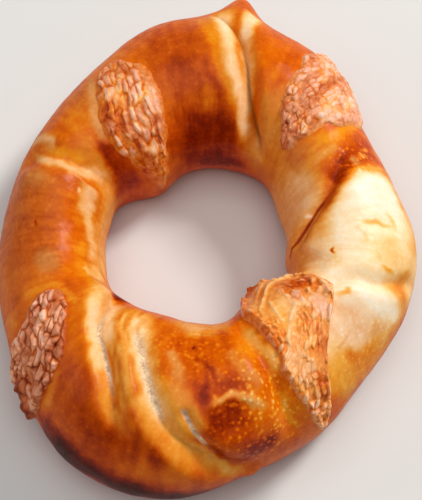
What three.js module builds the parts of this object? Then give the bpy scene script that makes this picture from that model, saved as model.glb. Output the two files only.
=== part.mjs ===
// Cheese bread: a rope of rolled dough closed into a ring and baked, with four crusts of melted cheese on it.
// Millimetres, +Z up, the long side along Y. The origin is under the middle of the bread, where it rests.
//
// A place on the bread is told by two angles in degrees. phi runs round the ring, from +X anticlockwise.
// theta runs round the rope: 0 faces outwards, 90 is the crown and 180 faces the hole.

import * as THREE from "three";

// ---- The ring ----

// [radius of the hole, outer radius, height of the crown] at evenly spaced phi, starting at 0.
const RING_STATIONS = [
  [26.5, 71.0, 42.0],
  [29.0, 69.2, 41.5],
  [32.0, 72.2, 41.5],
  [37.6, 84.9, 43.0],
  [38.5, 89.3, 44.5],
  [37.0, 90.6, 44.5],
  [32.5, 81.8, 42.0],
  [38.2, 75.3, 39.5],
  [36.3, 72.3, 38.0],
  [34.5, 71.4, 37.0],
  [34.0, 72.5, 38.5],
  [30.2, 77.6, 42.0],
  [26.7, 84.6, 46.0],
  [26.5, 83.5, 48.0],
  [27.0, 75.6, 47.5],
  [22.6, 71.8, 46.0],
  [20.4, 67.8, 44.5],
  [28.4, 69.0, 43.0],
];
const HOLE_RADII = RING_STATIONS.map(([hole]) => hole);
const OUTER_RADII = RING_STATIONS.map(([, outer]) => outer);
const CROWN_HEIGHTS = RING_STATIONS.map(([, , crown]) => crown);

// The rope's oval section is cut flat at this share of its half height below its middle.
const UNDERSIDE_CUT = 0.62;

// Where the middle of the ring lies, so that the middle of the whole bread is at the origin.
const RING_MIDDLE = { x: 0.1, y: -6.5 };

// Relief fades out over this many degrees of theta above the flat underside.
const RELIEF_FADE = 24;

// ---- Folds, where one turn of the rolled dough laps the next ----

// line: [phi, theta] from the outside of the ring over the crown to the hole.
// depth and width: the groove. lips: how far the dough stands up on the side of lower and of higher phi.
const FOLDS = [
  {
    line: [[90, 34], [82, 57], [78, 88], [74, 118], [68, 144], [60, 163]],
    depth: 2.8,
    width: 3.4,
    lips: [1.6, 2.2],
  },
  {
    line: [[156, 25], [151, 66], [149, 99], [146, 132], [142, 168]],
    depth: 1.8,
    width: 4.5,
    lips: [0.8, 2.2],
  },
  {
    line: [[250, 44], [242, 75], [232, 94], [226, 102], [219, 126], [214, 152]],
    depth: 2.4,
    width: 3.5,
    lips: [2.2, 1.2],
  },
  {
    line: [[284, 0], [271, 30], [260, 58], [253, 81], [246, 102], [236, 122]],
    depth: 2.4,
    width: 3.5,
    lips: [2.4, 1.0],
  },
  {
    line: [[274, 30], [268, 50], [263, 72]],
    depth: 1.4,
    width: 2.4,
    lips: [0, 0.4],
  },
  {
    line: [[293, 16], [291.5, 60], [290, 92], [288, 112], [285, 134]],
    depth: 1.8,
    width: 3.0,
    lips: [1.2, 0.4],
  },
  {
    line: [[352, 4], [346, 40], [341, 66], [340, 82], [336, 96], [331, 108]],
    depth: 1.6,
    width: 3.0,
    lips: [1.8, 0.6],
  },
  {
    line: [[32, 80], [19, 111], [12, 129], [3, 142], [-5, 150]],
    depth: 2.0,
    width: 3.0,
    lips: [1.6, 0.5],
  },
];

// A lip dies away over this distance from its groove.
const LIP_REACH = 15;

// Share of a fold's length over which it starts and ends.
const FOLD_TAPER = 0.18;
const FOLD_STEPS = 16;

// Swellings of the dough between the folds: [phi, theta], the radius of the foot and the height.
const SWELLINGS = [
  { at: [83, 12], radius: 9, height: 5.0 },
  { at: [84, 38], radius: 10, height: 3.0 },
  { at: [84, -8], radius: 9, height: 3.0 },
  { at: [82, 20], radius: 5, height: 3.4 },
  { at: [214, 112], radius: 10, height: 1.8 },
  { at: [279, 40], radius: 9, height: 1.6 },
  { at: [262, 8], radius: 18, height: 1.4 },
  { at: [8, 62], radius: 22, height: 1.2 },
];

// ---- The crusts of melted cheese ----

// rows: [theta, lowest phi, highest phi], from the outer end of the crust to its inner end.
const CRUSTS = {
  cheese_crust_upper_left: {
    rows: [[52, 117, 120.5], [60, 114, 124], [72, 111, 126.5], [86, 109, 129.5], [102, 108, 133],
      [118, 107.5, 134.5], [136, 108.5, 132.5], [154, 111, 128.5], [170, 113.5, 125], [185, 116, 121]],
    thickness: 2.6,
    colour: "#d99a7c",
  },
  cheese_crust_upper_right: {
    rows: [[4, 43, 52], [16, 40.5, 57.5], [32, 39, 62], [50, 40, 63], [68, 41, 63],
      [86, 44, 63], [102, 45, 63], [116, 47, 61], [128, 49, 57], [136, 51, 54]],
    thickness: 3.0,
    colour: "#dd9c80",
  },
  cheese_crust_lower_right: {
    rows: [[8, 300, 302], [18, 299, 304], [30, 298, 306], [46, 297, 308.5], [60, 296, 312], [72, 295, 320],
      [84, 296, 328], [98, 295, 334], [118, 293, 336], [134, 291, 334.5], [147, 293, 324], [157, 298, 313]],
    thickness: 3.2,
    colour: "#dc9550",
  },
  cheese_crust_left: {
    rows: [[-30, 218.5, 222], [-16, 215.5, 223], [0, 213, 225], [20, 210, 226], [34, 208, 226],
      [48, 207, 226], [60, 204, 225], [72, 202, 223], [84, 201, 218], [94, 205, 212]],
    thickness: 2.6,
    colour: "#b9775a",
  },
};

// Height of a crust's border, and the clearance under it.
const CRUST_BORDER = 0.7;
const CRUST_CLEARANCE = 0.5;

// Lumps of the cheese: their length, and their share of the crust's thickness.
const LUMP_LENGTH = 8;
const LUMP_SHARE = 0.38;

// ---- Fineness of the faces ----

const RING_STEPS = 150;
const ROPE_STEPS = 28;
const UNDERSIDE_STEPS = 3;
const CRUST_ROWS = 20;
const CRUST_COLUMNS = 11;

// The rows of faces lean like the turns of the dough, by this many degrees at evenly spaced phi from 0.
const DOUGH_LEANS = [22, 15, 7, 10, 22, 11];

const DEGREE = Math.PI / 180;
const BREAD_COLOUR = "#c9762c";
const BREAD_ROUGHNESS = 0.45;
const CHEESE_ROUGHNESS = 0.6;

// Rises smoothly from 0 at t = 0 to 1 at t = 1.
function smoothStep(t) {
  const clamped = THREE.MathUtils.clamp(t, 0, 1);
  return clamped * clamped * (3 - 2 * clamped);
}

// Smooth curve through four evenly spaced values, between the two middle ones.
function throughFour(before, from, to, after, t) {
  const slope = to - before;
  const bend = 2 * before - 5 * from + 4 * to - after;
  const twist = 3 * (from - to) + after - before;
  return from + 0.5 * t * (slope + t * (bend + t * twist));
}

// The value at phi on a closed smooth curve through evenly spaced values, the first at phi 0.
function loopValue(values, phi) {
  const count = values.length;
  const place = (THREE.MathUtils.euclideanModulo(phi, 360) / 360) * count;
  const index = Math.floor(place);
  const value = (step) => values[(index + step + count) % count];
  return throughFour(value(-1), value(0), value(1), value(2), place - index);
}

// The rope's oval section at phi: how far its middle is from the ring's, and its half width and half height.
function sectionAt(phi) {
  const hole = loopValue(HOLE_RADII, phi);
  const outer = loopValue(OUTER_RADII, phi);
  const crown = loopValue(CROWN_HEIGHTS, phi);
  const halfHeight = crown / (1 + UNDERSIDE_CUT);
  return {
    middle: (hole + outer) / 2,
    halfWidth: (outer - hole) / 2,
    halfHeight,
    middleHeight: UNDERSIDE_CUT * halfHeight,
  };
}

// The turn from one phi to another, the short way round.
function turnBetween(from, to) {
  return THREE.MathUtils.euclideanModulo(to - from + 180, 360) - 180;
}

// Where one [phi, theta] lies from another, in millimetres along the ring and round the rope, near a place.
function flatOffset([fromPhi, fromTheta], [toPhi, toTheta], place) {
  return new THREE.Vector2(
    turnBetween(fromPhi, toPhi) * DEGREE * place.ringRadius,
    (toTheta - fromTheta) * DEGREE * place.ropeRadius,
  );
}

// The nearest point of a fold's line: the distance, positive on the side of higher phi, and the share of the
// fold's length at which it lies.
function nearestOnFold(fold, place) {
  let best = { distance: Infinity, side: 1, share: 0 };
  for (let step = 0; step < FOLD_STEPS; step += 1) {
    const start = fold.points[step];
    const end = fold.points[step + 1];
    const toPlace = flatOffset(start, [place.phi, place.theta], place);
    const alongFold = flatOffset(start, end, place);
    const t = THREE.MathUtils.clamp(toPlace.dot(alongFold) / alongFold.lengthSq(), 0, 1);
    const distance = toPlace.clone().addScaledVector(alongFold, -t).length();
    if (distance < best.distance) {
      const side = alongFold.cross(toPlace) < 0 ? 1 : -1;
      best = { distance, side, share: (step + t) / FOLD_STEPS };
    }
  }
  return best;
}

for (const fold of FOLDS) {
  const corners = fold.line.map(([phi, theta]) => new THREE.Vector2(phi, theta));
  fold.points = new THREE.SplineCurve(corners).getPoints(FOLD_STEPS).map((point) => point.toArray());
}

// How far a fold moves the dough outwards: down in its groove and up at its lips.
function foldRelief(fold, place) {
  const { distance, side, share } = nearestOnFold(fold, place);
  const taper = smoothStep(share / FOLD_TAPER) * smoothStep((1 - share) / FOLD_TAPER);
  const groove = Math.exp(-((distance / fold.width) ** 2));
  const lip = fold.lips[side < 0 ? 0 : 1] * Math.exp(-((distance / LIP_REACH) ** 2));
  return taper * (lip * (1 - groove) - fold.depth * groove);
}

// How far a swelling moves the dough outwards: a round hump.
function swellingRelief(swelling, place) {
  const distance = flatOffset(swelling.at, [place.phi, place.theta], place).length();
  return swelling.height * Math.exp(-((distance / swelling.radius) ** 2));
}

// A point at this height over the bread's surface. A bridged surface runs straight over the grooves.
function breadPoint(phi, theta, heightOver = 0, bridged = false) {
  const section = sectionAt(phi);
  const across = Math.cos(theta * DEGREE);
  const up = Math.sin(theta * DEGREE);
  const place = {
    phi,
    theta,
    ringRadius: section.middle + section.halfWidth * across,
    ropeRadius: (section.halfWidth + section.halfHeight) / 2,
  };
  const normal = new THREE.Vector2(across / section.halfWidth, up / section.halfHeight).normalize();

  let relief = 0;
  for (const swelling of SWELLINGS) {
    relief += swellingRelief(swelling, place);
  }
  for (const fold of FOLDS) {
    const foldHeight = foldRelief(fold, place);
    relief += bridged ? Math.max(foldHeight, 0) : foldHeight;
  }
  const edge = Math.asin(UNDERSIDE_CUT) / DEGREE;
  const overEdge = 90 + edge - Math.abs(theta - 90);
  const lift = heightOver + relief * smoothStep(overEdge / RELIEF_FADE);

  const radius = place.ringRadius + lift * normal.x;
  return new THREE.Vector3(
    RING_MIDDLE.x + radius * Math.cos(phi * DEGREE),
    RING_MIDDLE.y + radius * Math.sin(phi * DEGREE),
    Math.max(section.middleHeight + section.halfHeight * up + lift * normal.y, 0),
  );
}

// A mesh of quads, each cut in two: `point(i, j)` is wrapped round both ways.
function closedTube(steps, rounds, point) {
  const positions = [];
  const indices = [];
  for (let i = 0; i < steps; i += 1) {
    for (let j = 0; j < rounds; j += 1) {
      positions.push(...point(i, j).toArray());
      const here = i * rounds + j;
      const above = i * rounds + ((j + 1) % rounds);
      const next = ((i + 1) % steps) * rounds + j;
      const nextAbove = ((i + 1) % steps) * rounds + ((j + 1) % rounds);
      indices.push(here, next, nextAbove, here, nextAbove, above);
    }
  }
  return facetedGeometry(positions, indices);
}

function facetedGeometry(positions, indices) {
  const geometry = new THREE.BufferGeometry();
  geometry.setAttribute("position", new THREE.Float32BufferAttribute(positions, 3));
  geometry.setIndex(indices);
  geometry.computeVertexNormals();
  return geometry;
}

// The whole ring of bread: the rope's surface, closed by a flat underside.
function breadGeometry() {
  const edge = Math.asin(UNDERSIDE_CUT) / DEGREE;
  const rounds = ROPE_STEPS + UNDERSIDE_STEPS;
  return closedTube(RING_STEPS, rounds, (i, j) => {
    const turn = (i / RING_STEPS) * 360;
    const lean = loopValue(DOUGH_LEANS, turn);
    const leaningPoint = (theta) => breadPoint(turn + lean * Math.cos(theta * DEGREE), theta);
    if (j <= ROPE_STEPS) {
      return leaningPoint(-edge + (j / ROPE_STEPS) * (180 + 2 * edge));
    }
    return leaningPoint(180 + edge).lerp(leaningPoint(-edge), (j - ROPE_STEPS) / UNDERSIDE_STEPS);
  });
}

// A crust's outline at a share of its length, on a smooth curve through its rows: [theta, low phi, high phi].
function crustRow(rows, share) {
  const place = share * (rows.length - 1);
  const index = Math.min(Math.floor(place), rows.length - 2);
  const row = (step) => rows[THREE.MathUtils.clamp(index + step, 0, rows.length - 1)];
  return [0, 1, 2].map((column) => throughFour(
    row(-1)[column],
    row(0)[column],
    row(1)[column],
    row(2)[column],
    place - index,
  ));
}

// The lumpy top of the melted cheese: waves that cross each other, from -1 to 1.
function lumps(point) {
  const wave = (2 * Math.PI) / LUMP_LENGTH;
  const first = Math.sin(wave * (point.x + 0.4 * point.y));
  const second = Math.sin(wave * (0.9 * point.y - 0.5 * point.x) + 1.3);
  const third = Math.sin(wave * (0.7 * point.z + 0.6 * point.x) + 2.1);
  return (first + second + third) / 3;
}

// A thin crust that follows the bread: thick in the middle, thin at its border, closed below and all round.
function crustGeometry({ rows, thickness }) {
  const positions = [];
  const indices = [];
  const layer = CRUST_ROWS * CRUST_COLUMNS;

  for (const top of [false, true]) {
    for (let i = 0; i < CRUST_ROWS; i += 1) {
      for (let j = 0; j < CRUST_COLUMNS; j += 1) {
        const share = i / (CRUST_ROWS - 1);
        const across = j / (CRUST_COLUMNS - 1);
        const [theta, low, high] = crustRow(rows, share);
        const phi = THREE.MathUtils.lerp(low, high, across);
        const under = breadPoint(phi, theta, CRUST_CLEARANCE, true);
        const fromBorder = Math.min(1, 5 * across, 5 * (1 - across), 6 * share, 6 * (1 - share));
        const swell = Math.sqrt(fromBorder * (2 - fromBorder)) * (1 + LUMP_SHARE * lumps(under));
        const height = CRUST_BORDER + (thickness - CRUST_BORDER) * swell;
        const point = top ? breadPoint(phi, theta, CRUST_CLEARANCE + height, true) : under;
        positions.push(...point.toArray());
      }
    }
  }

  const vertex = (i, j, top) => (top ? layer : 0) + i * CRUST_COLUMNS + j;
  const quad = (a, b, c, d) => indices.push(a, b, c, a, c, d);
  for (let i = 0; i + 1 < CRUST_ROWS; i += 1) {
    for (let j = 0; j + 1 < CRUST_COLUMNS; j += 1) {
      quad(
        vertex(i, j, true),
        vertex(i, j + 1, true),
        vertex(i + 1, j + 1, true),
        vertex(i + 1, j, true),
      );
      quad(
        vertex(i, j, false),
        vertex(i + 1, j, false),
        vertex(i + 1, j + 1, false),
        vertex(i, j + 1, false),
      );
    }
  }
  const lastRow = CRUST_ROWS - 1;
  const lastColumn = CRUST_COLUMNS - 1;
  for (let i = 0; i < lastRow; i += 1) {
    quad(vertex(i, 0, false), vertex(i, 0, true), vertex(i + 1, 0, true), vertex(i + 1, 0, false));
    quad(
      vertex(i + 1, lastColumn, false),
      vertex(i + 1, lastColumn, true),
      vertex(i, lastColumn, true),
      vertex(i, lastColumn, false),
    );
  }
  for (let j = 0; j < lastColumn; j += 1) {
    quad(vertex(0, j + 1, false), vertex(0, j + 1, true), vertex(0, j, true), vertex(0, j, false));
    quad(
      vertex(lastRow, j, false),
      vertex(lastRow, j, true),
      vertex(lastRow, j + 1, true),
      vertex(lastRow, j + 1, false),
    );
  }
  return facetedGeometry(positions, indices);
}

// ---- The bread ----

const cheeseBread = new THREE.Group();

const bread = new THREE.Mesh(
  breadGeometry(),
  new THREE.MeshStandardMaterial({ color: BREAD_COLOUR, roughness: BREAD_ROUGHNESS, metalness: 0 }),
);
bread.name = "bread_ring";
cheeseBread.add(bread);

for (const [name, crust] of Object.entries(CRUSTS)) {
  const mesh = new THREE.Mesh(
    crustGeometry(crust),
    new THREE.MeshStandardMaterial({ color: crust.colour, roughness: CHEESE_ROUGHNESS, metalness: 0 }),
  );
  mesh.name = name;
  cheeseBread.add(mesh);
}

export default cheeseBread;
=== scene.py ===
"""Cheese bread: the looks of a baked ring of rolled dough with four crusts of melted cheese.

The tables are in millimetres and the meshes in metres, +Z up, the long side along Y.
A place on the bread is told by two angles in degrees. phi runs round the ring, from +X anticlockwise.
theta runs round the rope: 0 faces outwards, 90 is the crown and 180 faces the hole.
"""
import itertools
from collections import namedtuple
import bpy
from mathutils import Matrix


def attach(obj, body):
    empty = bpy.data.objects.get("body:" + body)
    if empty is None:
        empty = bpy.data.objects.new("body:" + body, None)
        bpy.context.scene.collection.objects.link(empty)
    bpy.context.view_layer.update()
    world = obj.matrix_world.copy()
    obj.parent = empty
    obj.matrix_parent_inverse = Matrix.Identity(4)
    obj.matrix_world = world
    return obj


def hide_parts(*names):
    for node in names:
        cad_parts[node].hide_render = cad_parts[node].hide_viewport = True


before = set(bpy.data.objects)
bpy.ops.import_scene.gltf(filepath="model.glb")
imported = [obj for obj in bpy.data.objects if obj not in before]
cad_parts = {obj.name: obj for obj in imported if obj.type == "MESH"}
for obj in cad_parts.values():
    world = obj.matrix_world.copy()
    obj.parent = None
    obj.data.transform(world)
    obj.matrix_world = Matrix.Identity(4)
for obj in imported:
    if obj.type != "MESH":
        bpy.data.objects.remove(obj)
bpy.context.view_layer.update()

from types import SimpleNamespace as Crust

import bpy
import numpy as np
from mathutils import Matrix, Vector

MM = 0.001
DEGREE = np.pi / 180

# ---- The ring, as in the part's source ----

# [radius of the hole, outer radius, height of the crown] at evenly spaced phi, starting at 0.
RING_STATIONS = np.array([
    [26.5, 71, 42], [29, 69.2, 41.5], [32, 72.2, 41.5],
    [37.6, 84.9, 43], [38.5, 89.3, 44.5], [37, 90.6, 44.5],
    [32.5, 81.8, 42], [38.2, 75.3, 39.5], [36.3, 72.3, 38],
    [34.5, 71.4, 37], [34, 72.5, 38.5], [30.2, 77.6, 42],
    [26.7, 84.6, 46], [26.5, 83.5, 48], [27, 75.6, 47.5],
    [22.6, 71.8, 46], [20.4, 67.8, 44.5], [28.4, 69, 43],
])
UNDERSIDE_CUT = 0.62
RING_MIDDLE = (0.1, -6.5)
RELIEF_FADE = 24
DOUGH_LEANS = np.array([22, 15, 7, 10, 22, 11])
EDGE = np.arcsin(UNDERSIDE_CUT) / DEGREE

# Folds, where one turn of the rolled dough laps the next. line, depth, width and lips are the source's.
# crumb: the shares of the line between which it tore open, and the tear's half width. crease: how dark the
# line is painted, a painted shade in the groove.
Fold = namedtuple("Fold", "line depth width lips crease crumb", defaults=[None])
FOLDS = [
    Fold([[90, 34], [82, 57], [78, 88], [74, 118], [68, 144], [60, 163]], 2.8, 3.4, [1.6, 2.2], 0.8),
    Fold([[156, 25], [151, 66], [149, 99], [146, 132], [142, 168]], 1.8, 4.5, [0.8, 2.2], 0.1),
    Fold([[250, 44], [242, 75], [232, 94], [226, 102], [219, 126], [214, 152]],
         2.4, 3.5, [2.2, 1.2], 0.35, (0.15, 0.75, 1)),
    Fold([[284, 0], [271, 30], [260, 58], [253, 81], [246, 102], [236, 122]],
         2.4, 3.5, [2.4, 1], 0.3, (0.4, 0.98, 1.7)),
    Fold([[274, 30], [268, 50], [263, 72]], 1.4, 2.4, [0, 0.4], 0.5, (0.3, 0.99, 0.8)),
    Fold([[293, 16], [291.5, 60], [290, 92], [288, 112], [285, 134]], 1.8, 3, [1.2, 0.4], 0.1),
    Fold([[352, 4], [346, 40], [341, 66], [340, 82], [336, 96], [331, 108]], 1.6, 3, [1.8, 0.6], 0.15),
    Fold([[32, 80], [19, 111], [12, 129], [3, 142], [-5, 150]], 2, 3, [1.6, 0.5], 0),
]
LIP_REACH = 15
FOLD_TAPER = 0.18
BAND_TAPER = 0.2
LINE_STEPS = 16

# Swellings of the dough: phi, theta, the radius of the foot and the height.
SWELLINGS = [
    (83, 12, 9, 5), (84, 38, 10, 3), (84, -8, 9, 3), (82, 20, 5, 3.4), (214, 112, 10, 1.8),
    (279, 40, 9, 1.6), (262, 8, 18, 1.4), (8, 62, 22, 1.2),
]

# Small forms that only the looks have, in the same way: blisters, a nub and hollows of the crust.
BLEMISHES = [
    (276, 55, 5.5, -0.9), (278, 41, 4.5, 0.7), (281, -4, 3, 1.3), (155, 112, 6, -0.5),
    (262, 104, 9, -0.5), (332, 78, 3.5, 0.4), (300, 30, 6, 0.4),
]

# Raised lines of the crust: the line, its height and its half width.
WRINKLES = [
    ([[270, 66], [273.5, 71], [277.5, 70.5], [282.3, 66.5], [286, 58]], 0.7, 1.5),
    ([[264, 124], [270, 104], [274, 94], [280, 74]], 0.3, 1.3),
    ([[152, 40], [152, 76], [152, 96], [153, 112], [155, 124], [158, 145]], 0.8, 1.6),
    ([[145, 108], [146, 136], [142, 163]], 0.5, 3.0),
    ([[2, 88], [3, 72], [2, 56]], -0.35, 1.6),
    ([[358, 66], [354, 56], [350, 52]], 0.35, 1.4),
    ([[244, 68], [254, 56], [261, 42], [270, 16]], 0.5, 3.2),
]

# ---- Browning ----
# toast is 0 on unbrowned dough, 0.5 where it is golden, 0.65 where orange brown and 1 where nearly burnt.
# bare is 0 under the full egg wash and 1 on matt dough that the wash missed, which browns to peach and tan.

PLAIN_CRUST = (0.61, 0.05)
UNDERSIDE_TOAST = 0.72
PLAIN_BLISTERS = 0.15
UNDERSIDE_BLISTERS = 0.1

# Patches, painted in this order: phi, theta, the radius along the ring and the one round the rope, toast
# and bare, and then the turn of the oval where it has one.
WIDE_PATCHES = [
    # The dark patches at phi 91 and 82, on the wall of the hole that faces the camera, are browner crust
    # and painted shade, as the light comes from behind.
    [99, 88, 13, 21, 0.71, 0.15], [91, 152, 15, 13, 0.81, 0], [82, 180, 9, 6, 0.82, 0],
    [104, 150, 3, 9, 0.77, 0], [93, 125, 7, 3.6, 0.65, 0.1], [113, 172, 7, 11, 0.6, 0.2],
    [69, 74, 7, 19, 0.6, 0], [61, 148, 7, 12, 0.45, 0.5], [64, 118, 4, 9, 0.55, 0.3],
    [32, 158, 22, 23, 0.42, 0.35], [27, 140, 8, 9, 0.34, 0.7], [56, 165, 5, 13, 0.56, 0.2],
    [44, 124, 5, 6, 0.58, 0.4], [353, 145, 9, 17, 0.5, 0.5], [347, 122, 7, 6, 0.36, 0.6],
    [137, 85, 5, 15, 0.58, 0.1], [128, 62, 7, 8, 0.6, 0.4], [175, 62, 24, 24, 0.65, 0.3],
    [160, 70, 4, 6, 0.56, 0.7], [149, 168, 7, 10, 0.45, 0.3], [142, 112, 4, 9, 0.53, 0.2],
    [272, 100, 16, 16, 0.64, 0], [266, 131, 5, 5, 0.5, 0.2], [286, 108, 4, 10, 0.52, 0],
    [262, 115, 6, 4, 0.67, 0], [277, 78, 6, 4, 0.7, 0], [275, 58, 7, 5.5, 0.8, 0],
    [289, 58, 6, 12, 0.57, 0], [279, 32, 9, 9, 0.72, 0], [291, 22, 9, 9, 0.66, 0],
    [232, 56, 9, 11, 0.7, 0.05], [247, 46, 15, 10, 0.73, 0], [259, 43, 4, 5, 0.8, 0],
    # The dark patch at phi 234, theta 14, low on the front, is browner crust and painted shade where the
    # rope turns down.
    [268, 76, 3, 6, 0.74, 0], [284, 27, 5, 4, 0.84, 0], [234, 14, 9, 8, 0.82, 0],
    [322, 60, 18, 20, 0.29, 0.9], [313, 50, 6, 7, 0.28, 0.4], [311, 30, 9, 11, 0.46, 0],
    [328, 16, 13, 9, 0.49, 0], [334, 32, 9, 7, 0.38, 0.3], [322, 28, 4, 4, 0.5, 0.1],
    [336, 17, 5, 4, 0.54, 0.1], [318, 34, 3, 5, 0.52, 0.2], [330, 38, 5, 3, 0.42, 0.6],
    [305, 10, 6, 8, 0.62, 0], [337, 72, 6, 21, 0.08, 0.5], [352, 76, 15, 17, 0.12, 0.3],
    [6, 68, 17.5, 18, 0.1, 0.5], [15, 62, 7, 13, 0.06, 0.5], [1, 96, 9, 4, 0.13, 0.3],
    [353, 60, 8, 12, 0.23, 0.2], [2, 66, 4, 10, 0.12, 0], [14, 27, 11, 5, 0.42, 0.5],
    [352, 18, 12, 6, 0.28, 0.3],
]
# Long patches: a line, its half width at the start and at the end, toast and bare.
BANDS = [
    ([[84, 124], [87, 114], [91, 103]], 1, 1.4, 0.75, 0),
    ([[92, 40], [89.5, 66], [87, 86], [85, 102], [81, 118], [76, 137]], 3, 1.4, 0.52, 0),
    ([[73, 160], [74, 140], [75, 122], [76, 105], [77.5, 90], [79, 70], [80, 50], [80, 32]],
     1.8, 2.6, 0.35, 0.5),
    ([[79, 66], [79.5, 50], [79, 34]], 2, 3, 0.22, 0.4),
    ([[71, 154], [75, 132], [79, 113], [82, 97], [84, 76]], 1.2, 3, 0.29, 0.7),
    ([[83, 92], [84.5, 74], [86, 55], [86.5, 32]], 2.8, 3.6, 0.25, 0.5),
    ([[21, 112], [25, 98], [28, 86], [29.5, 74], [30.5, 62], [31.5, 48], [32, 30]], 5.2, 5.6, 0.74, 0),
    ([[23, 106], [17, 112], [10, 121], [3, 132], [-4, 144]], 3.6, 2.2, 0.58, 0.4),
    ([[24, 104], [17, 111], [11, 119]], 2.8, 2.2, 0.68, 0.2),
    ([[22, 104], [26, 90], [29, 76]], 2.6, 3.4, 0.8, 0),
    ([[31, 66], [32, 48], [33, 30]], 0.9, 0.9, 0.73, 0),
    ([[44, 108], [41, 92], [39.5, 75], [40, 58], [40, 40]], 2.8, 2.2, 0.46, 0),
    ([[34, 112], [36, 98], [36, 84]], 1.6, 1.8, 0.47, 0.4),
    ([[136, 182], [137, 152], [137, 130], [136, 108]], 5, 3.2, 0.77, 0),
    ([[134.5, 120], [133, 100], [130, 82], [126.5, 64], [122, 48]], 1.7, 1.7, 0.5, 0.9),
    ([[146, 176], [158, 168], [172, 163], [186, 158], [200, 150]], 7, 8, 0.44, 0.3),
    ([[142, 152], [143, 130], [144.5, 112], [146, 98]], 1.6, 1.4, 0.5, 0.2),
    ([[146, 112], [147.5, 95], [148.5, 80], [148.5, 52]], 1.8, 1.4, 0.46, 0),
    ([[146, 34], [146.5, 54], [147, 74]], 2.4, 1.6, 0.4, 0.8),
    ([[142, 160], [145, 142], [148, 127], [150.8, 112], [152.3, 94], [152.6, 76], [152, 56], [151, 36]],
     2.4, 1.7, 0.35, 0.7),
    ([[155, 107], [165, 113], [180, 118], [195, 113], [204, 106]], 5, 4.5, 0.61, 0),
    ([[178, 128], [190, 125], [203, 124]], 2.4, 3, 0.51, 0),
    ([[153, 129], [160, 129], [168, 131]], 3.2, 3.8, 0.34, 0.7),
    ([[163, 131], [174, 138], [190, 144]], 3, 2, 0.36, 0.5),
    ([[195, 154], [196, 138], [195, 126]], 2.6, 2.6, 0.33, 0.2),
    ([[203, 158], [204, 140], [203, 118]], 2, 2.4, 0.54, 0),
    ([[186, 165], [188, 156]], 3.5, 3, 0.38, 0.1),
    ([[228, 96], [235, 84], [241, 72], [246, 60], [251, 46]], 3, 2.4, 0.49, 0.2),
    ([[208, 152], [209, 136], [212, 120], [219, 107], [227, 96], [234, 86], [240, 76]],
     5, 2.4, 0.33, 0.2),
    ([[214, 116], [222, 102], [231, 91], [238, 80]], 2.4, 1.8, 0.24, 0.5),
    ([[226, 142], [231, 120], [238, 104], [244, 88], [248, 72], [251, 56]], 6.5, 2.6, 0.47, 0.2),
    ([[216, 142], [219, 130], [223, 116], [229, 104], [236, 92]], 3, 1.8, 0.33, 0.6),
    ([[234, 128], [239, 118], [243, 108]], 2.2, 2, 0.36, 0.3),
    ([[246, 150], [262, 145], [275, 141], [287, 140]], 5, 5, 0.49, 0.3),
    ([[254, 112], [259, 98], [263, 84]], 1.6, 2, 0.5, 0.6),
    ([[266, 104], [271, 94], [275, 84]], 1.4, 1.6, 0.55, 0.2),
    ([[278, 104], [281, 94], [284, 82]], 2, 2.4, 0.53, 0.3),
    ([[264, 108], [269, 100], [272, 90], [274, 80]], 0.9, 1.6, 0.72, 0),
    ([[256, 142], [263, 138], [269, 136]], 3.4, 3.6, 0.42, 0.5),
    ([[254, 94], [259, 78], [264, 64], [268, 50]], 2.6, 2.2, 0.47, 0),
    ([[247, 86], [252, 72], [257, 59], [263, 44], [269, 30], [275, 16]], 3.4, 2.8, 0.49, 0.2),
    ([[230, 146], [238, 124], [244, 107], [249, 94], [254, 79], [259, 65], [264, 50]],
     4.2, 3.2, 0.29, 0.4),
    ([[258, 92], [262, 80], [266, 66], [269, 52]], 2.4, 2.4, 0.5, 0.3),
    ([[256, 74], [260, 62], [265, 47], [270, 32], [276, 14], [281, -4]], 2.4, 1.3, 0.42, 0.2),
    ([[246, 76], [249, 66], [252, 54]], 1.6, 1.8, 0.6, 0.1),
    ([[271, 42], [275, 28], [281, 12]], 1.4, 2.4, 0.78, 0),
    ([[270, 67], [273.5, 71.5], [277.5, 71], [282.3, 67], [285.5, 60], [288, 52]], 1, 1.6, 0.42, 0.5),
    ([[282, 86], [285, 78], [288, 70]], 1.6, 2.4, 0.53, 0.5),
    ([[289, 124], [291, 104], [293, 90], [294.5, 72]], 1.4, 2.2, 0.38, 0.2),
    ([[292, 60], [293, 40], [294, 24]], 1.4, 1.2, 0.5, 0),
    ([[200, 46], [199.5, 72], [201, 90], [207, 98], [215, 96]], 1.2, 1.6, 0.5, 0.1),
    ([[225.5, 62], [227, 48], [228, 30]], 1, 1.8, 0.56, 0.1),
    # The dark band low along the front, phi 226 to 276, is browner crust and painted shade where the rope
    # turns down towards the floor.
    ([[226, -8], [238, 6], [250, 5], [262, 0], [276, -20]], 8, 8, 0.92, 0),
    ([[346, 2], [330, -5], [315, -9], [300, -14]], 5, 7, 0.6, 0),
]
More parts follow.
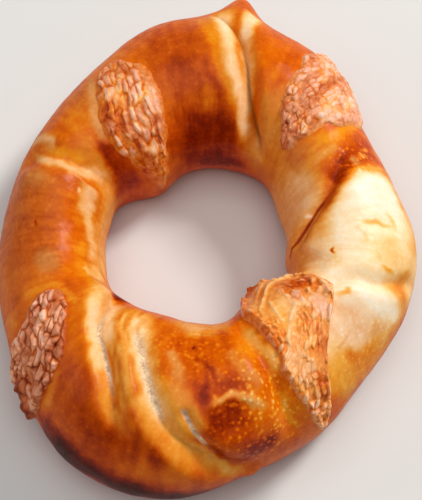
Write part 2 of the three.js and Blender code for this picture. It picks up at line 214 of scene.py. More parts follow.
# Small marks on top of those.
SMALL_PATCHES = [
    [27, 71, 1.8, 1.4, 0.56, 0.9], [29, 60, 1, 2.6, 0.5, 0.3], [31, 52, 0.8, 1.8, 0.5, 0.3],
    [23.5, 62, 1, 9, 0.42, 0], [14, 135, 1, 1, 0.2, 1], [2.5, 72, 0.9, 6, 0.34, 0.2],
    [4.5, 58, 3.4, 1, 0.26, 0.1, 30], [357, 84, 4, 0.9, 0.24, 0.2, 20], [350, 34, 2.4, 3, 0.4, 0],
    [164, 143, 2.3, 2.4, 0.58, 0.1], [158, 117, 1.3, 0.8, 0.32, 0.8], [175, 78, 1.5, 0.6, 0.76, 0],
    # [213, 151] is painted shade: the dark gap at the inner end of a fold, by the hole.
    [190, 88, 5, 5, 0.6, 0.9], [213, 151, 3, 3.4, 0.84, 0], [264, 113, 0.6, 0.6, 0.92, 0],
    [283, 30, 1.3, 1.5, 0.82, 0], [332, 81, 2.2, 1.3, 0.38, 0.2], [319, 52, 5, 0.7, 0.4, 0.7, 12],
    [347, 58, 0.7, 3.6, 0.42, 0], [348.5, 36, 1, 3.4, 0.4, 0], [350, 110, 1.4, 0.6, 0.84, 0.2],
]
# Fine lines, drawn last, in the way of the long patches: a thin dark line along the last fold, painted
# shade in its crack.
FINE_LINES = [
    ([[-8, 163], [-4, 158], [2, 149.6], [8, 139.3], [13.6, 127.3], [17, 116], [19.6, 106]],
     0.5, 0.6, 0.84, 0.2),
]
# Where the dough was drawn out in fibres: the line and its half width, and how much they darken it.
FIBRED = ([[226, 142], [231, 120], [238, 104], [244, 88], [248, 72], [251, 58]], 6.5)
FIBRE_TOAST = 0.16

# Where the wash blistered, from 0 smooth to 1 full of bubbles: patches in the same way.
BLISTERED = [
    [285, 55, 16, 20, 0.9], [30, 70, 8, 9, 0.8], [326, 32, 16, 14, 0.4], [262, 110, 14, 12, 0.5],
]

# ---- The crusts of melted cheese ----
# rows, of theta, lowest phi and highest phi, and thickness are the source's.
# Two levels tell the colour: scorch, 0 pale to 1 burnt, and golden, 0 on pinkish cheese and 1 on golden.
# cell: length and width of a lump. lean: their turn from the crust's own length. relief: the lumps' height.
# soft: how wide the valleys between lumps are. sunk: the share of the lumps that stayed as film.
# lumpy: how much the lumps stand out, and lumps: patches of it. knobs: the same along the border, which is
# raised by rim. rough: how wrinkled the lumps are. wander: how far the border strays. fade: how far in its
# colour and slope reach.
# plain and border: the two levels of the lumps and of the border. film and crease: how much darker they are
# than what is round them, and how golden; the creases' darkening is painted shade. pale: how much paler the
# lumps' tops are, partly a painted highlight. uneven: how mottled.
# ribs: raised or sunk lines, with height, half width and levels.
DRIED = dict(slot="melted_cheese", lumpy=1, knobs=0, rim=0)
CRUSTS = {
    "cheese_crust_upper_left": Crust(
        rows=[[52, 117, 120.5], [60, 114, 124], [72, 111, 126.5], [86, 109, 129.5], [102, 108, 133],
              [118, 107.5, 134.5], [136, 108.5, 132.5], [154, 111, 128.5], [170, 113.5, 125],
              [185, 116, 121]],
        thickness=2.6, seed=11, cell=(5.6, 2.5), soft=0.6, lean=8, relief=1.05, wander=1, sunk=0.2,
        rough=0.5, fade=2.6, plain=(0.43, 0.15), film=(0.12, 0.9), crease=(0.15, 1), border=(0.57, 1),
        pale=0.13, uneven=1, **DRIED,
        lumps=[[109, 100, 2.8, 24, 0.25], [116, 60, 5, 8, 0.5], [118, 176, 9, 8, 0.5]],
        patches=[[109.5, 102, 3.2, 24, 0.4, 0], [117, 112, 5, 12, 0.41, 0.1], [130, 128, 4, 12, 0.38, 0],
                 [116, 64, 3, 9, 0.52, 0.5], [126, 96, 3.4, 4, 0.6, 0.9], [121, 160, 8, 9, 0.5, 0.8],
                 [118, 178, 8, 10, 0.51, 1]],
        ribs=[([[112, 118], [114, 128], [114, 140]], -0.4, 0.8, 0.74, 0.5),
              ([[119, 92], [122, 106], [124, 118], [121, 130]], -0.4, 1, 0.66, 0.6),
              ([[127, 104], [126, 118], [124, 136], [121, 152]], -0.4, 0.9, 0.7, 0.8)],
    ),
    "cheese_crust_upper_right": Crust(
        rows=[[4, 43, 52], [16, 40.5, 57.5], [32, 39, 62], [50, 40, 63], [68, 41, 63], [86, 44, 63],
              [102, 45, 63], [116, 47, 61], [128, 49, 57], [136, 51, 54]],
        thickness=3, seed=23, cell=(3.6, 1.9), soft=0.45, lean=4, relief=0.95, wander=1.2, sunk=0.14,
        rough=0.7, fade=1.6, plain=(0.37, 0), film=(0.08, 0.5), crease=(0.13, 0.9), border=(0.46, 0.8),
        pale=0.1, uneven=0.7, **DRIED,
        lumps=[],
        patches=[[52, 40, 13, 18, 0.34, 0], [46, 60, 4, 12, 0.3, 0], [48, 86, 3, 6, 0.34, 0],
                 [54, 116, 7, 10, 0.46, 0.2], [62, 104, 2.4, 12, 0.46, 0.4], [53, 66, 1.4, 16, 0.55, 0.5],
                 [57, 84, 2, 10, 0.46, 0.2]],
        ribs=[([[52, 34], [53, 58], [53, 76], [51, 94]], -0.3, 0.9, 0.57, 0.4),
              ([[57, 66], [58, 86], [55, 104]], -0.3, 0.8, 0.54, 0.3),
              ([[50, 112], [53, 120], [57, 116]], -0.5, 1, 0.74, 0.2)],
    ),
    "cheese_crust_lower_right": Crust(
        rows=[[8, 300, 302], [18, 299, 304], [30, 298, 306], [46, 297, 308.5], [60, 296, 312],
              [72, 295, 320], [84, 296, 328], [98, 295, 334], [118, 293, 336], [134, 291, 334.5],
              [147, 293, 324], [157, 298, 313]],
        thickness=3.2, seed=37, slot="golden_cheese", cell=(2.7, 2), soft=0.4, lean=0, relief=1.5,
        wander=0.6, sunk=0.34, lumpy=0.05, knobs=1.1, rim=0.6, rough=0.1, fade=1.2, plain=(0.37, 0.75),
        film=(0.09, 0.9), crease=(0.17, 1), border=(0.51, 0.55), pale=0.2, uneven=0.45,
        lumps=[[301, 30, 9, 16, 1], [308, 62, 5, 8, 0.7], [314, 84, 6, 6, 0.5], [299, 92, 4, 7, 0.8],
               [326, 108, 7, 6, 1]],
        patches=[[295, 122, 3.2, 24, 0.52, 0.1], [308, 153, 10, 3.4, 0.58, 0.5],
                 [303, 118, 6, 9, 0.44, 1], [303, 98, 4, 9, 0.45, 1], [316, 122, 7, 6, 0.46, 0.9],
                 [325, 116, 6, 5, 0.57, 0.5, -20], [320, 104, 3, 3, 0.4, 0.1], [327, 95, 4, 4, 0.36, 0.6],
                 [317, 160, 5, 4, 0.66, 0.9], [322, 80, 3, 8, 0.3, 0.1], [313, 72, 1.6, 9, 0.56, 0.6],
                 [308, 78, 5, 12, 0.4, 1], [311, 58, 2.2, 6, 0.42, 0.2], [301, 34, 8, 22, 0.36, 0.5],
                 [304.5, 46, 2, 5, 0.6, 0.9], [308, 134, 3, 4, 0.54, 0.8]],
        ribs=[([[333, 134], [318, 131], [308, 127], [299, 120]], 0.7, 1, 0.26, 0.8),
              ([[320, 143], [310, 138], [301, 132]], 0.4, 0.8, 0.32, 0.8),
              ([[318, 101], [310, 97], [304, 90], [300, 80]], 0.8, 1, 0.26, 0.6),
              ([[308, 122], [306, 110], [305, 98]], 0.5, 0.8, 0.3, 0.8)],
    ),
    "cheese_crust_left": Crust(
        rows=[[-30, 218.5, 222], [-16, 215.5, 223], [0, 213, 225], [20, 210, 226], [34, 208, 226],
              [48, 207, 226], [60, 204, 225], [72, 202, 223], [84, 201, 218], [94, 205, 212]],
        thickness=2.6, seed=41, cell=(4.2, 3.2), soft=0.34, lean=-14, relief=1.35, wander=0.8, sunk=0.08,
        rough=1, fade=1, plain=(0.47, 0), film=(0.15, 0.3), crease=(0.18, 0.6), border=(0.68, 0.6),
        pale=0.13, uneven=1, **DRIED,
        lumps=[[221, -2, 7, 10, 0.3]],
        patches=[[211, 80, 5, 5, 0.34, 0.1], [203, 62, 2.4, 8, 0.34, 0], [214, 66, 4, 6, 0.38, 0.1],
                 [222, 56, 4, 9, 0.5, 0], [214, 42, 4, 8, 0.56, 0.1], [208, 40, 2, 6, 0.34, 0.1],
                 [215, 14, 9, 9, 0.54, 0.3], [221, 2, 6, 9, 0.72, 0.4]],
        ribs=[([[225, -16], [223, -4], [221, 8], [217, 26]], 2.6, 2.4, 0.82, 0.5)],
    ),
}

# ---- Shared formulas ----

DRAWS = 4096
LATTICE_PRIMES = np.array([73856093, 19349663, 83492791])
BOX_PRIMES = (7919, 104729)
NEIGHBOURS = (-1, 0, 1, 2)
POINT_MARGIN = 0.15
CHANCE_WEIGHT = 0.3

Place = namedtuple("Place", "phi theta ring_radius rope_radius")


def smooth_step(t):
    """Rises smoothly from 0 at t = 0 to 1 at t = 1: t squared times (3 - 2 t)."""
    held = np.clip(t, 0, 1)
    return held * held * (3 - 2 * held)


def falling(distance, width, power=2):
    """e to minus the distance over width to this power: 1 at distance 0, and a bell curve at power 2."""
    return np.exp(-((distance / width) ** power))


def through_four(before, start, end, after, t):
    """The cubic from start to end whose slope at each is half the step between its two neighbours."""
    slope = end - before
    bend = 2 * before - 5 * start + 4 * end - after
    twist = 3 * (start - end) + after - before
    return start + 0.5 * t * (slope + t * (bend + t * twist))


def loop_value(values, phi):
    """The value at phi on a closed smooth curve through evenly spaced values, the first at phi 0."""
    count = len(values)
    place = (phi % 360) / 360 * count
    index = np.floor(place).astype(int)
    near = [values[(index + step) % count] for step in NEIGHBOURS]
    return through_four(*near, place - index)


def curve_value(points, share):
    """A point at a share, from 0 to 1, of a smooth curve through the given points."""
    table = np.asarray(points, float)
    place = np.asarray(share) * (len(table) - 1)
    index = np.minimum(np.floor(place).astype(int), len(table) - 2)
    near = [table[np.clip(index + step, 0, len(table) - 1)] for step in NEIGHBOURS]
    return through_four(*near, (place - index)[..., None])


def turn_between(start, end):
    """The turn from one phi to another, the short way round."""
    return (end - start + 180) % 360 - 180


def cloud(points, cell, seed):
    """A smooth random field from -1 to 1: random values on a cubic lattice, blended between corners."""
    values = np.random.default_rng(seed).uniform(-1, 1, DRAWS)
    place = np.asarray(points) / cell
    base = np.floor(place)
    blend = smooth_step(place - base)
    field = 0
    for corner in itertools.product((0, 1), repeat=3):
        key = (base + corner).astype(np.int64) @ LATTICE_PRIMES
        weight = np.prod(np.where(corner, blend, 1 - blend), axis=-1)
        field = field + values[key % DRAWS] * weight
    return field


def clouds(points, layers, seed=0):
    """A sum of clouds, each given by its strength, its cell and a number that is added to the seed."""
    return sum(strength * cloud(points, cell, seed + draw) for strength, cell, draw in layers)


def rope_oval(phi):
    """The rope's oval section: how far its middle is from the ring's middle, and its two half axes."""
    hole, outer, crown = (loop_value(RING_STATIONS[:, column], phi) for column in range(3))
    return (outer + hole) / 2, (outer - hole) / 2, crown / (1 + UNDERSIDE_CUT)


def place_on_bread(phi, theta):
    """A place with its distances from the ring's middle and from the rope's, which turn degrees into mm."""
    middle, half_width, half_height = rope_oval(phi)
    ring_radius = middle + half_width * np.cos(theta * DEGREE)
    return Place(phi, theta, ring_radius, (half_width + half_height) / 2)


def flat_offset(start, end, place):
    """Where one place or [phi, theta] lies from another, in mm along the ring and round the rope."""
    along = turn_between(start[0], end[0]) * DEGREE * place.ring_radius
    around = (end[1] - start[1]) * DEGREE * place.rope_radius
    return along, around


def nearest_on_line(line, place):
    """Distance to a curve on the bread, the side (1 right of it, -1 left) and how far along, from 0 to 1.

    The curve is cut in straight steps, and each step is measured in the mm of the place itself.
    """
    points = curve_value(line, np.linspace(0, 1, LINE_STEPS + 1))
    best, side, share = np.inf, 1, 0
    for step, (start, end) in enumerate(zip(points, points[1:])):
        to_along, to_around = flat_offset(start, place, place)
        along, around = flat_offset(start, end, place)
        t = np.clip((to_along * along + to_around * around) / (along ** 2 + around ** 2), 0, 1)
        distance = np.hypot(to_along - t * along, to_around - t * around)
        nearer = distance < best
        best = np.where(nearer, distance, best)
        side = np.where(nearer, np.where(along * to_around - around * to_along < 0, 1, -1), side)
        share = np.where(nearer, (step + t) / LINE_STEPS, share)
    return best, side, share


def line_ends(share, taper=FOLD_TAPER):
    """Fades in and out over the first and last part of a line, by smooth steps."""
    return smooth_step(share / taper) * smooth_step((1 - share) / taper)


def fold_relief(fold, near):
    """How far a fold moves the dough: down by a bell curve in its groove, up by a wider one at its lips."""
    distance, side, share = near
    groove = falling(distance, fold.width)
    lip = np.where(side < 0, *fold.lips) * falling(distance, LIP_REACH)
    return line_ends(share) * (lip * (1 - groove) - fold.depth * groove)


def hump(place, bump):
    """A round hump or hollow: a bell curve of this radius and height."""
    phi, theta, radius, height = bump
    distance = np.hypot(*flat_offset((phi, theta), place, place))
    return height * falling(distance, radius)


def toward(levels, own, cover):
    """Moves each level towards its own new value by the share that cover gives."""
    return [level + (value - level) * cover for level, value in zip(levels, own)]


def painted(levels, patches, place):
    """Paints ovals over levels in order: e to minus the fourth power of the distance in half axes."""
    for phi, theta, radius, across, *rest in patches:
        own, turn = rest[:len(levels)], sum(rest[len(levels):])
        along, around = flat_offset((phi, theta), place, place)
        cosine, sine = np.cos(turn * DEGREE), np.sin(turn * DEGREE)
        first = (along * cosine + around * sine) / radius
        second = (around * cosine - along * sine) / across
        levels = toward(levels, own, falling(np.hypot(first, second), 1, 4))
    return levels


def banded(levels, bands, place):
    """Paints long patches over levels in order: e to minus the cube of the distance in half widths."""
    for line, start, end, *own in bands:
        distance, _, share = nearest_on_line(line, place)
        half_width = start + (end - start) * share
        levels = toward(levels, own, falling(distance, half_width, 3) * line_ends(share, BAND_TAPER))
    return levels


def over_bread(place, height, relief):
    """The point at this height over the rope's oval section, with relief that fades above the underside."""
    _, half_width, half_height = rope_oval(place.phi)
    across = np.cos(place.theta * DEGREE)
    up = np.sin(place.theta * DEGREE)
    normal = np.stack([across / half_width, up / half_height])
    normal = normal / np.linalg.norm(normal, axis=0)
    lift = height + relief * smooth_step((90 + EDGE - np.abs(place.theta - 90)) / RELIEF_FADE)
    radius = place.ring_radius + lift * normal[0]
    level = (UNDERSIDE_CUT + up) * half_height + lift * normal[1]
    x = RING_MIDDLE[0] + radius * np.cos(place.phi * DEGREE)
    y = RING_MIDDLE[1] + radius * np.sin(place.phi * DEGREE)
    return np.stack([x, y, np.maximum(level, 0)], axis=-1)


def main_relief(place, nears, bridged=False):
    """The source's relief: the swellings and the folds, whose grooves a bridged surface passes over."""
    relief = sum(hump(place, bump) for bump in SWELLINGS)
    for fold, near in zip(FOLDS, nears):
        height = fold_relief(fold, near)
        relief = relief + (np.maximum(height, 0) if bridged else height)
    return relief


def cells(along, across, length, width, seed):
    """Cells round scattered points: the distances to the two nearest points, and each cell's own chance.

    Each box of a lattice holds one random point, and a place is tried against the 25 boxes round it. A
    share of a point's chance is added to its distances, so that cells of a low chance are larger.
    """
    values = np.random.default_rng(seed).uniform(0, 1, (3, DRAWS))
    u, v = along / length, across / width
    box_u, box_v = np.floor(u), np.floor(v)
    nearest, following, chance = np.inf, np.inf, 0
    spread = 1 - 2 * POINT_MARGIN
    for step_u, step_v in itertools.product(range(-2, 3), repeat=2):
        near_u, near_v = box_u + step_u, box_v + step_v
        key = (near_u * BOX_PRIMES[0] + near_v * BOX_PRIMES[1]).astype(np.int64) % DRAWS
        point_u = near_u + POINT_MARGIN + spread * values[0][key]
        point_v = near_v + POINT_MARGIN + spread * values[1][key]
        distance = np.hypot(u - point_u, v - point_v) + CHANCE_WEIGHT * values[2][key]
        nearer = distance < nearest
        following = np.where(nearer, nearest, np.minimum(following, distance))
        chance = np.where(nearer, values[2][key], chance)
        nearest = np.where(nearer, distance, nearest)
    return nearest, following, chance


# ---- Meshes ----


def add_piece(name, points, quads, attributes, material, node):
    """Makes a smooth mesh of quads with one number a vertex for each attribute, in place of a CAD node."""
    mesh = bpy.data.meshes.new(name)
    mesh.vertices.add(len(points))
    mesh.vertices.foreach_set("co", (points * MM).astype(np.float32).ravel())
    mesh.loops.add(quads.size)
    mesh.loops.foreach_set("vertex_index", quads.astype(np.int32).ravel())
    mesh.polygons.add(len(quads))
    mesh.polygons.foreach_set("loop_start", np.arange(0, quads.size, 4, dtype=np.int32))
    mesh.polygons.foreach_set("use_smooth", np.ones(len(quads), dtype=bool))
    mesh.update(calc_edges=True)
    for key, values in attributes.items():
        layer = mesh.attributes.new(key, "FLOAT", "POINT")
        layer.data.foreach_set("value", np.asarray(values, dtype=np.float32).ravel())
    mesh.validate()
    mesh.materials.append(material)
    piece = bpy.data.objects.new(name, mesh)
    bpy.context.collection.objects.link(piece)
    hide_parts(node)
    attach(piece, "root")


def tube_quads(steps, rounds):
    """Quads of a grid that is closed both ways."""
    i, j = np.meshgrid(np.arange(steps), np.arange(rounds), indexing="ij")
    next_i, next_j = (i + 1) % steps, (j + 1) % rounds
    corners = [i * rounds + j, next_i * rounds + j, next_i * rounds + next_j, i * rounds + next_j]
    return np.stack(corners, axis=-1).reshape(-1, 4)


def slab_quads(rows, columns):
    """Quads of a slab: a grid on top, the same grid below it, and a strip all round."""
    i, j = np.meshgrid(np.arange(rows - 1), np.arange(columns - 1), indexing="ij")
    here = i * columns + j
    top = np.stack([here, here + 1, here + columns + 1, here + columns], axis=-1).reshape(-1, 4)
    below = top[:, ::-1] + rows * columns
    border = np.concatenate([
        np.arange(columns),
        np.arange(1, rows) * columns + columns - 1,
        (rows - 1) * columns + np.arange(columns - 2, -1, -1),
        np.arange(rows - 2, 0, -1) * columns,
    ])
    after = np.roll(border, -1)
    strip = np.stack([border, border + rows * columns, after + rows * columns, after], axis=-1)
    return np.concatenate([top, below, strip])


# ---- Materials ----


def linear(hex_colour):
    """An sRGB hex colour as linear red, green and blue, and 1 for alpha."""
    parts = [int(hex_colour[k:k + 2], 16) / 255 for k in (1, 3, 5)]
    return [p / 12.92 if p <= 0.04045 else ((p + 0.055) / 1.055) ** 2.4 for p in parts] + [1]


def add(tree, kind, inputs=None, stops=(), out=0, **settings):
    """Adds a node with its settings, and gives one of its outputs.

    Each input is a value or another node's output. A colour ramp's stops begin with its two ends.
    """
    node = tree.nodes.new("ShaderNode" + kind)
    for key, value in settings.items():
        setattr(node, key, value)
    for key, value in (inputs or {}).items():
        if isinstance(value, bpy.types.NodeSocket):
            tree.links.new(value, node.inputs[key])
        else:
            node.inputs[key].default_value = value
    for index, (position, colour) in enumerate(stops):
        ramp = node.color_ramp.elements
        stop = ramp[index] if index < 2 else ramp.new(position)
        stop.position = position
        stop.color = linear(colour)
    return node.outputs[out]


def new_material(name, levels, patterns):
    """A node material with the mesh's levels, and noise patterns of a size in mm, detail and roughness."""
    material = bpy.data.materials.new(name)
    material.use_nodes = True
    tree = material.node_tree
    tree.nodes.clear()
    where = add(tree, "TexCoord", out="Object")
    read = [add(tree, "Attribute", out="Fac", attribute_name=level) for level in levels]
    noises = [
        add(tree, "TexNoise", {
            "Vector": where, "Scale": 1 / (size * MM), "Detail": detail, "Roughness": rough})
        for size, detail, rough in patterns]
    return material, tree, where, read, noises


def add_surface(tree, sockets):
    """The material's shader, with these sockets."""
    shader = add(tree, "BsdfPrincipled", sockets)
    tree.links.new(shader, tree.nodes.new("ShaderNodeOutputMaterial").inputs["Surface"])


def add_skin(tree, colour, height, mottle, strength, gloss, sockets):
    """The shader under a thin coat, with fine relief by bump, and a gloss that varies with the mottling."""
    bumped = add(tree, "Bump", {
        "Height": height, "Strength": strength, "Distance": SKIN_DEPTH * MM})
    dull = add(tree, "Math", {0: mottle, 1: GLOSS_VARIES, 2: gloss}, operation="MULTIPLY_ADD")
    add_surface(tree, {
        "Base Color": colour, "Roughness": dull, "Normal": bumped, "Coat Normal": bumped,
        "Subsurface Scale": 1.0, **sockets})


SKIN_DEPTH = 0.35
CRUST_BUMP = 0.28
CRUST_GLOSS, GLOSS_VARIES = 0.22, 0.25
CRUST_LEVELS = ("toast", "bare", "crumb", "crease", "blisters")
# Patterns: size in mm, detail and roughness.
CRUST_PATTERNS = [
    (4, 5, 0.6),  # mottling of the browned wash
    (1, 3, 0.6),  # specks, stronger between blisters
    (0.8, 2, 0.5),  # grey specks in the torn crumb
    (0.9, 4, 0.65),  # fine wrinkles
]
CRUST_STOPS = (0, 1, 0.12, 0.25, 0.36, 0.48, 0.60, 0.70, 0.80, 0.90)
WASHED = "#FFF6E2 #220500 #FDE5B8 #F9CB7E #F3AC40 #E98C12 #DC6400 #BE4400 #8E2400 #561000".split()
BARE = "#FFF4E4 #2E0F04 #FDE4C8 #F9CBA0 #EFB07C #DB9252 #C27436 #A65A24 #863E14 #5A2208".split()
CRUMB = [(0.34, "#D2AC80"), (0.62, "#F2DDC0"), (0.46, "#E6C89E")]
# Painted shade: the darker brown laid along the folds' creases.
PAINTED_CREASE_SHADE = "#8A4212"
MOTTLING = 0.12
SPECKS, BLISTER_SPECKS = 0.05, 0.12
# Blisters: size, how far down from a top the painted highlight reaches, how much paler it paints, and
# relief.
BLISTER_SIZE, BLISTER_TOP, BLISTER_PAINTED_GLINT, BLISTER_RELIEF = 1.9, 0.36, 0.9, 1.8
EGG_WASH = {
    "IOR": 1.4, "Specular IOR Level": 0.02, "Specular Tint": linear("#FFB070"),
    "Subsurface Weight": 0.03, "Subsurface Radius": (2.5 * MM, 1.4 * MM, 0.7 * MM),
    "Coat Weight": 0.17, "Coat Roughness": 0.2,
}


def egg_washed_crust():
    """Egg-washed crust of a white wheat dough, baked: pale where a fold kept the wash off, else brown.

    The wash gives it a satin film, the flour under it a soft inner glow, and the oven small blisters, whose
    tops are painted paler as a painted highlight.
    """
    material, tree, where, levels, noises = new_material("egg_washed_crust", CRUST_LEVELS, CRUST_PATTERNS)
    toast, bare, crumb, crease, blisters = levels
    mottle, speckle, crumb_specks, wrinkles = noises
    bubbles = add(tree, "TexVoronoi", {"Vector": where, "Scale": 1 / (BLISTER_SIZE * MM)},
                  feature="SMOOTH_F1")

    # How brown it is: the toast of the place, mottled and speckled, and paler on the tops of blisters as a
    # painted highlight.
    mottled = add(tree, "Math", {0: mottle, 1: MOTTLING, 2: -MOTTLING / 2}, operation="MULTIPLY_ADD")
    around_zero = add(tree, "Math", {0: speckle, 1: 0.5}, operation="SUBTRACT")
    contrast = add(tree, "Math", {0: blisters, 1: BLISTER_SPECKS, 2: SPECKS}, operation="MULTIPLY_ADD")
    uneven = add(tree, "Math", {0: around_zero, 1: contrast, 2: mottled}, operation="MULTIPLY_ADD")
    toasted = add(tree, "Math", {0: toast, 1: uneven})
    near_top = add(tree, "Math", {0: BLISTER_TOP, 1: bubbles}, operation="SUBTRACT", use_clamp=True)
    tops = add(tree, "Math", {0: near_top, 1: blisters}, operation="MULTIPLY")
    level = add(tree, "Math", {0: tops, 1: -BLISTER_PAINTED_GLINT, 2: toasted}, operation="MULTIPLY_ADD")

    washed, matt = (
        add(tree, "ValToRGB", {"Fac": level}, stops=zip(CRUST_STOPS, colours))
        for colours in (WASHED, BARE))
    browned = add(tree, "Mix", {0: bare, 6: washed, 7: matt}, out=2, data_type="RGBA")
    grains = add(tree, "ValToRGB", {"Fac": crumb_specks}, stops=CRUMB)
    opened = add(tree, "Mix", {0: crumb, 6: browned, 7: grains}, out=2, data_type="RGBA")
    # Painted shade along the folds' creases: the colour goes towards a dark brown there.
    creased = add(tree, "Mix", {0: crease, 6: opened, 7: linear(PAINTED_CREASE_SHADE)}, out=2, data_type="RGBA")

    # The skin: fine wrinkles all over, and blisters where the wash lay thick.
    domes = add(tree, "Math", {0: bubbles, 1: blisters}, operation="MULTIPLY")
    height = add(tree, "Math", {0: domes, 1: -BLISTER_RELIEF, 2: wrinkles}, operation="MULTIPLY_ADD")
    add_skin(tree, creased, height, mottle, CRUST_BUMP, CRUST_GLOSS, EGG_WASH)
    return material


CHEESE_PATTERNS = [
    (1.4, 4, 0.6),  # mottling
    (0.6, 3, 0.6),  # fine wrinkles of the dried fat
]
CHEESE_MOTTLING = 0.30
CHEESE_STOPS = (0, 1, 0.20, 0.38, 0.52, 0.66, 0.80)
DRIED_CHEESE = "#FFE6D4 #4E1604 #FCCBB0 #F0A988 #D88862 #B8623A #8C3814".split()
GOLDEN_CHEESE = "#FFF0D0 #521402 #FDD594 #F6AC4E #E67E1E #CC5608 #A23404".split()
CHEESE_FAT = {
    "IOR": 1.45, "Specular IOR Level": 0.05, "Specular Tint": linear("#FFD8B8"),
    "Subsurface Weight": 0.06, "Subsurface Radius": (2 * MM, 1.3 * MM, 0.8 * MM),
    "Coat Weight": 0.22, "Coat Roughness": 0.25,
}


def cheese(name, gloss, wrinkled):
    """Melted cheese, browned in the oven: pale where a lump stands up, red brown in the creases.

    It is pinkish where it dried and golden where its fat ran. The fat leaves it oily and lets light in.
    Its creases are darkened by painted shade, and its lumps' pale tops are partly a painted highlight.
    """
    material, tree, _, (scorch, golden), (mottle, wrinkles) = new_material(
        name, ("scorch", "golden"), CHEESE_PATTERNS)
    uneven = add(tree, "Math", {0: mottle, 1: CHEESE_MOTTLING, 2: -CHEESE_MOTTLING / 2},
                 operation="MULTIPLY_ADD")
    level = add(tree, "Math", {0: scorch, 1: uneven})
    dried, fatty = (
        add(tree, "ValToRGB", {"Fac": level}, stops=zip(CHEESE_STOPS, colours))
        for colours in (DRIED_CHEESE, GOLDEN_CHEESE))
    browned = add(tree, "Mix", {0: golden, 6: dried, 7: fatty}, out=2, data_type="RGBA")
    add_skin(tree, browned, wrinkles, mottle, wrinkled, gloss, CHEESE_FAT)
    return material


# ---- The ring of bread ----

RING_STEPS = 512
ROPE_STEPS = 180
UNDERSIDE_STEPS = 8

# Clouds, as strength, size in mm and seed: dents, how far the browning's borders wander along the ring and
# round the rope, and how uneven it is. The streaked ones are drawn out round the rope.
DENTS = [(0.45, 13, 1), (0.12, 4, 2), (0.05, 1.6, 3)]
WANDER_ALONG = [(0.9, 6, 5), (0.5, 2.4, 7), (0.3, 1.1, 13)]
WANDER_ROUND = [(1.2, 6, 6)]
STREAKED_WANDER = [(0.9, 1.9, 8), (0.5, 0.9, 14)]
UNEVEN_TOAST = [(0.035, 9, 9), (0.02, 3.2, 10), (0.02, 1.3, 12)]
STREAKED_TOAST = [(0.035, 2.2, 15), (0.03, 0.9, 16)]
STREAK_LENGTH, MEAN_RING_RADIUS, MEAN_ROPE_RADIUS = 7, 53, 28

RAGGED_SIZE, RAGGED_SEED = 1.7, 4
TEAR_TAPER, TEAR_DEPTH = 0.12, 0.35
CREASE_HALF_WIDTH, CREASE_DEPTH = 0.7, 1.2
FIBRE_SIZE, FIBRE_SEED, FIBRE_CELLS, FIBRE_RELIEF = 1.1, 17, 12, 0.25


def torn_folds(plain, nears):
    """The crumb and the crease of the folds, from 0 to 1, and how far both sink the dough.

    A tear is a smooth step down from its line to past its half width, and a crease is a bell curve round
    the line. A cloud makes the tear's border ragged and breaks its crease up.
    """
    crumb, crease, sunk = 0, 0, 0
    ragged = cloud(plain, RAGGED_SIZE, RAGGED_SEED)
    for fold, (distance, _, share) in zip(FOLDS, nears):
        ends = line_ends(share)
        if fold.crumb:
            start, end, half_width = fold.crumb
            opening = smooth_step((share - start) / TEAR_TAPER) * smooth_step((end - share) / TEAR_TAPER)
            torn = smooth_step(1.3 - distance / half_width + 0.2 * ragged) * opening
            ends = ends * smooth_step(0.5 + 1.6 * ragged)
            crumb = np.maximum(crumb, torn)
            sunk = sunk + torn * (TEAR_DEPTH + 0.1 * ragged)
        # The crease darkens the colour in the groove, a painted shade, and sinks the dough.
        mark = fold.crease * ends * falling(distance, CREASE_HALF_WIDTH)
        crease = np.maximum(crease, mark)
        sunk = sunk + CREASE_DEPTH * mark
    return crumb, crease, sunk


def fibres(place):
    """Threads of drawn-out dough: a cloud stretched along a line, fading at its half width and ends."""
    line, half_width = FIBRED
    distance, side, share = nearest_on_line(line, place)
    threads = cloud(np.stack([side * distance, share * FIBRE_CELLS, 0 * share], axis=-1),
                    FIBRE_SIZE, FIBRE_SEED)
    return threads * falling(distance, half_width, 4) * line_ends(share)


def browning(place, plain, threads):
    """toast, bare and blisters: patches whose borders wander by clouds, with streaks and threads.

    Only the fine lines don't wander. Below the rope's widest place toast goes over to the underside's.
    """
    turned = place.phi * DEGREE
    drawn_out = place.theta * DEGREE * MEAN_ROPE_RADIUS / STREAK_LENGTH
    streaks = np.stack([MEAN_RING_RADIUS * np.cos(turned), MEAN_RING_RADIUS * np.sin(turned), drawn_out],
                       axis=-1)
    along = clouds(plain, WANDER_ALONG)
    around = clouds(plain, WANDER_ROUND) + clouds(streaks, STREAKED_WANDER)
    wandered = place._replace(
        phi=place.phi + along / (place.ring_radius * DEGREE),
        theta=place.theta + around / (place.rope_radius * DEGREE),
    )
    levels = painted(PLAIN_CRUST, WIDE_PATCHES, wandered)
    levels = banded(levels, BANDS, wandered)
    levels = painted(levels, SMALL_PATCHES, wandered)
    toast, bare = banded(levels, FINE_LINES, place)
    toast = toast + clouds(streaks, STREAKED_TOAST) + clouds(plain, UNEVEN_TOAST)
    toast = toast + FIBRE_TOAST * threads
    under = smooth_step((np.abs(place.theta - 90) - 90) / EDGE)
    toast = toast + (UNDERSIDE_TOAST - toast) * under
    blisters, = painted([PLAIN_BLISTERS], BLISTERED, wandered)
    return toast, bare, blisters


